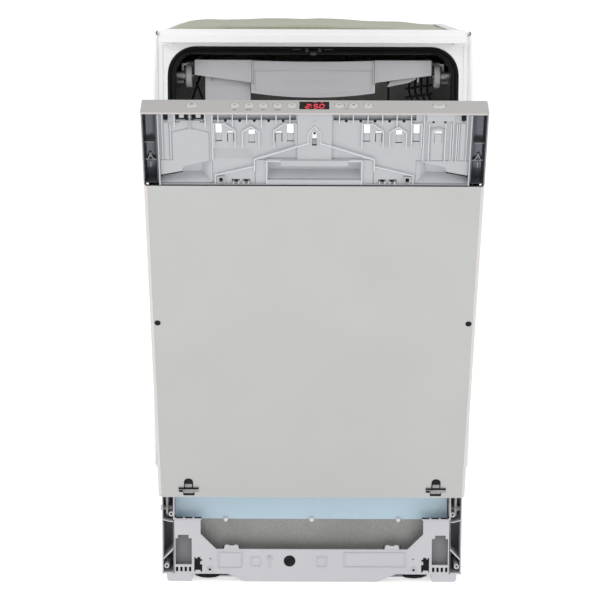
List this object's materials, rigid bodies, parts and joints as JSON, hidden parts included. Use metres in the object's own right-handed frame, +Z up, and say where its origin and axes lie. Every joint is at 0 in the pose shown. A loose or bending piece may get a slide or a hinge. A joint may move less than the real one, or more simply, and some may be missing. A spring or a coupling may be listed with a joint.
{
  "type": "built-in dishwasher",
  "caption": "Slim built-in dishwasher with leaning inner door, push-button top fascia, wire racks, cutlery tray, spray arms, plastic base and levelling feet.",
  "frame": {"origin": "on the floor under the middle of the closed cabinet", "axes": "+Z up, -Y to the front where the door is, +X to the right seen from the front"},
  "size_m": [0.468, 0.8318, 0.8239],
  "materials": {
    "base_plastic": "moulded pale grey plastic",
    "rail_steel": "stainless rail, satin",
    "pump_plastic": "black glass-filled plastic",
    "console_plastic": "moulded light grey plastic",
    "board": "green circuit board",
    "tray_plastic": "moulded grey plastic",
    "button_metal": "metallised push button",
    "dispenser_plastic": "grey plastic",
    "display_black": "black display window with lit numbers",
    "seal_rubber": "black soft rubber",
    "tub_steel": "stainless sheet, satin",
    "lock_plastic": "dark plastic",
    "door_skin": "fine-grained grey coated sheet",
    "spring_steel": "oiled spring wire",
    "lip_rubber": "white flexible strip",
    "fascia_steel": "brushed stainless fascia",
    "filter_mesh": "grey filter",
    "foot_plastic": "black plastic foot",
    "white_enamel": "white enamelled sheet",
    "zinc_steel": "bright zinc plated steel",
    "apron_film": "light blue protective film on sheet",
    "rack_wire": "grey nylon coated wire",
    "wheel_plastic": "light grey wheel",
    "spray_plastic": "grey plastic",
    "black_screw": "blackened steel screw",
    "zinc_sheet": "speckled galvanised sheet",
    "cap_blue": "dark grey plastic cap",
    "polished_steel": "polished stainless channel",
    "plug_black": "black plug",
    "white_plastic": "white moulded bar",
    "felt": "grey-green felt"
  },
  "bodies": {
    "cabinet": {"base_front": "base_plastic", "base_pan": "base_plastic", "basket_rails": "rail_steel", "circulation_pump": "pump_plastic", "door_gasket": "seal_rubber", "door_springs": "spring_steel", "drain_pump": "pump_plastic", "edge_strips": "lip_rubber", "front_frame": "white_enamel", "hinge_pins": "zinc_steel", "kick_apron": "apron_film", "latch_striker": "zinc_steel", "rear_fittings": "pump_plastic", "rear_panel": "zinc_sheet", "recess_plate": "zinc_sheet", "side_panels": "white_enamel", "sump": "pump_plastic", "top_bar": "white_plastic", "top_mat": "felt", "tub": "tub_steel", "water_softener": "pump_plastic"},
    "front_foot_left": {"front_foot_left": "foot_plastic"},
    "front_foot_right": {"front_foot_right": "foot_plastic"},
    "rear_foot": {"rear_foot": "foot_plastic"},
    "rear_foot_spindle": {"rear_foot_spindle": "black_screw"},
    "door": {"door_panel": "door_skin", "door_liner": "tub_steel", "hinge_arms": "zinc_steel", "side_plugs": "plug_black", "panel_brackets": "zinc_steel", "side_channels": "polished_steel", "console": "console_plastic", "fascia": "fascia_steel", "display_window": "display_black", "control_board": "board", "door_lock": "lock_plastic", "dispenser_body": "dispenser_plastic"},
    "dispenser_lid": {"dispenser_lid": "dispenser_plastic"},
    "rinse_aid_cap": {"rinse_aid_cap": "cap_blue"},
    "lower_basket": {"lower_basket": "rack_wire"},
    "lower_front_wheels": {"lower_front_wheels": "wheel_plastic"},
    "lower_rear_wheels": {"lower_rear_wheels": "wheel_plastic"},
    "upper_basket": {"upper_basket": "rack_wire"},
    "upper_spray_arm": {"upper_spray_arm": "spray_plastic"},
    "upper_rollers": {"upper_rollers": "wheel_plastic"},
    "cutlery_tray": {"cutlery_tray": "tray_plastic"},
    "tray_rollers": {"tray_rollers": "wheel_plastic"},
    "lower_spray_arm": {"lower_spray_arm": "spray_plastic"},
    "filter_set": {"filter_set": "filter_mesh"},
    "salt_cap": {"salt_cap": "cap_blue"},
    "power_button": {"power_button": "button_metal"},
    "start_button": {"start_button": "button_metal"},
    "minus_button": {"minus_button": "button_metal"},
    "plus_button": {"plus_button": "button_metal"},
    "delay_button": {"delay_button": "button_metal"},
    "program_button_1": {"program_button_1": "button_metal"},
    "program_button_2": {"program_button_2": "button_metal"},
    "program_button_3": {"program_button_3": "button_metal"},
    "program_button_4": {"program_button_4": "button_metal"},
    "program_button_5": {"program_button_5": "button_metal"}
  },
  "joints": [
    {"name": "door_hinge", "type": "hinge", "parent": "cabinet", "child": "door", "pos_m": [0, -0.24, 0.11], "axis": [1, 0, 0], "range_deg": [-24.6, 65.4]},
    {"name": "power_button_press", "type": "slide", "parent": "door", "child": "power_button", "axis": [0, 0.4163, -0.9092], "range_m": [0, 0.0015], "stiffness_N_per_m": 400, "springref_m": -0.0006},
    {"name": "start_button_press", "type": "slide", "parent": "door", "child": "start_button", "axis": [0, 0.4163, -0.9092], "range_m": [0, 0.0015], "stiffness_N_per_m": 400, "springref_m": -0.0006},
    {"name": "minus_button_press", "type": "slide", "parent": "door", "child": "minus_button", "axis": [0, 0.4163, -0.9092], "range_m": [0, 0.0015], "stiffness_N_per_m": 400, "springref_m": -0.0006},
    {"name": "plus_button_press", "type": "slide", "parent": "door", "child": "plus_button", "axis": [0, 0.4163, -0.9092], "range_m": [0, 0.0015], "stiffness_N_per_m": 400, "springref_m": -0.0006},
    {"name": "delay_button_press", "type": "slide", "parent": "door", "child": "delay_button", "axis": [0, 0.4163, -0.9092], "range_m": [0, 0.0015], "stiffness_N_per_m": 400, "springref_m": -0.0006},
    {"name": "program_button_1_press", "type": "slide", "parent": "door", "child": "program_button_1", "axis": [0, 0.4163, -0.9092], "range_m": [0, 0.0015], "stiffness_N_per_m": 400, "springref_m": -0.0006},
    {"name": "program_button_2_press", "type": "slide", "parent": "door", "child": "program_button_2", "axis": [0, 0.4163, -0.9092], "range_m": [0, 0.0015], "stiffness_N_per_m": 400, "springref_m": -0.0006},
    {"name": "program_button_3_press", "type": "slide", "parent": "door", "child": "program_button_3", "axis": [0, 0.4163, -0.9092], "range_m": [0, 0.0015], "stiffness_N_per_m": 400, "springref_m": -0.0006},
    {"name": "program_button_4_press", "type": "slide", "parent": "door", "child": "program_button_4", "axis": [0, 0.4163, -0.9092], "range_m": [0, 0.0015], "stiffness_N_per_m": 400, "springref_m": -0.0006},
    {"name": "program_button_5_press", "type": "slide", "parent": "door", "child": "program_button_5", "axis": [0, 0.4163, -0.9092], "range_m": [0, 0.0015], "stiffness_N_per_m": 400, "springref_m": -0.0006},
    {"name": "dispenser_lid_slide", "type": "slide", "parent": "door", "child": "dispenser_lid", "axis": [0, -0.4163, 0.9092], "range_m": [0, 0.072]},
    {"name": "rinse_aid_cap_turn", "type": "hinge", "parent": "door", "child": "rinse_aid_cap", "pos_m": [0.055, -0.35215, 0.3886], "axis": [0, 0.9092, 0.4163], "range_deg": [0, 90]},
    {"name": "lower_basket_slide", "type": "slide", "parent": "cabinet", "child": "lower_basket", "axis": [0, -1, 0], "range_m": [-0.069, 0.183]},
    {"name": "upper_basket_slide", "type": "slide", "parent": "cabinet", "child": "upper_basket", "axis": [0, -1, 0], "range_m": [-0.069, 0.183]},
    {"name": "cutlery_tray_slide", "type": "slide", "parent": "cabinet", "child": "cutlery_tray", "axis": [0, -1, 0], "range_m": [-0.069, 0.183]},
    {"name": "lower_front_wheels_roll", "type": "hinge", "parent": "lower_basket", "child": "lower_front_wheels", "pos_m": [0, -0.15, 0.1952], "axis": [1, 0, 0], "range_deg": [-248, 655]},
    {"name": "lower_rear_wheels_roll", "type": "hinge", "parent": "lower_basket", "child": "lower_rear_wheels", "pos_m": [0, 0.12, 0.1952], "axis": [1, 0, 0], "range_deg": [-248, 655]},
    {"name": "tray_rollers_roll", "type": "hinge", "parent": "cabinet", "child": "tray_rollers", "pos_m": [0, -0.185, 0.746], "axis": [1, 0, 0], "range_deg": [-233, 617]},
    {"name": "upper_rollers_roll", "type": "hinge", "parent": "cabinet", "child": "upper_rollers", "pos_m": [0, -0.185, 0.5917], "axis": [1, 0, 0], "range_deg": [-283, 749]},
    {"name": "lower_spray_arm_spin", "type": "hinge", "parent": "cabinet", "child": "lower_spray_arm", "pos_m": [0, 0.02, 0.178], "axis": [0, 0, 1], "continuous": true},
    {"name": "upper_spray_arm_spin", "type": "hinge", "parent": "upper_basket", "child": "upper_spray_arm", "pos_m": [0, -0.012, 0.478], "axis": [0, 0, 1], "continuous": true},
    {"name": "filter_turn", "type": "hinge", "parent": "cabinet", "child": "filter_set", "pos_m": [0, 0.02, 0.15], "axis": [0, 0, 1], "range_deg": [0, 60]},
    {"name": "salt_cap_turn", "type": "hinge", "parent": "cabinet", "child": "salt_cap", "pos_m": [-0.14, -0.095, 0.158], "axis": [0, 0, 1], "range_deg": [0, 540]},
    {"name": "front_foot_left_height", "type": "slide", "parent": "cabinet", "child": "front_foot_left", "axis": [0, 0, -1], "range_m": [0, 0.06]},
    {"name": "front_foot_right_height", "type": "slide", "parent": "cabinet", "child": "front_foot_right", "axis": [0, 0, -1], "range_m": [0, 0.06]},
    {"name": "rear_foot_height", "type": "slide", "parent": "cabinet", "child": "rear_foot", "axis": [0, 0, -1], "range_m": [0, 0.06]},
    {"name": "rear_foot_spindle_turn", "type": "hinge", "parent": "cabinet", "child": "rear_foot_spindle", "pos_m": [-0.032, 0, 0.032], "axis": [0, 1, 0], "range_deg": [0, 3601]}
  ],
  "couplings": [
    {"joint": "lower_basket_slide", "follows": "door_hinge", "m_per_rad": 0.16},
    {"joint": "upper_basket_slide", "follows": "door_hinge", "m_per_rad": 0.16},
    {"joint": "cutlery_tray_slide", "follows": "door_hinge", "m_per_rad": 0.16},
    {"joint": "lower_front_wheels_roll", "follows": "door_hinge", "ratio": 10},
    {"joint": "lower_rear_wheels_roll", "follows": "door_hinge", "ratio": 10},
    {"joint": "tray_rollers_roll", "follows": "door_hinge", "ratio": 9.4118},
    {"joint": "upper_rollers_roll", "follows": "door_hinge", "ratio": 11.429},
    {"joint": "rear_foot_spindle_turn", "follows": "rear_foot_height", "rad_per_m": 1047.2}
  ]
}
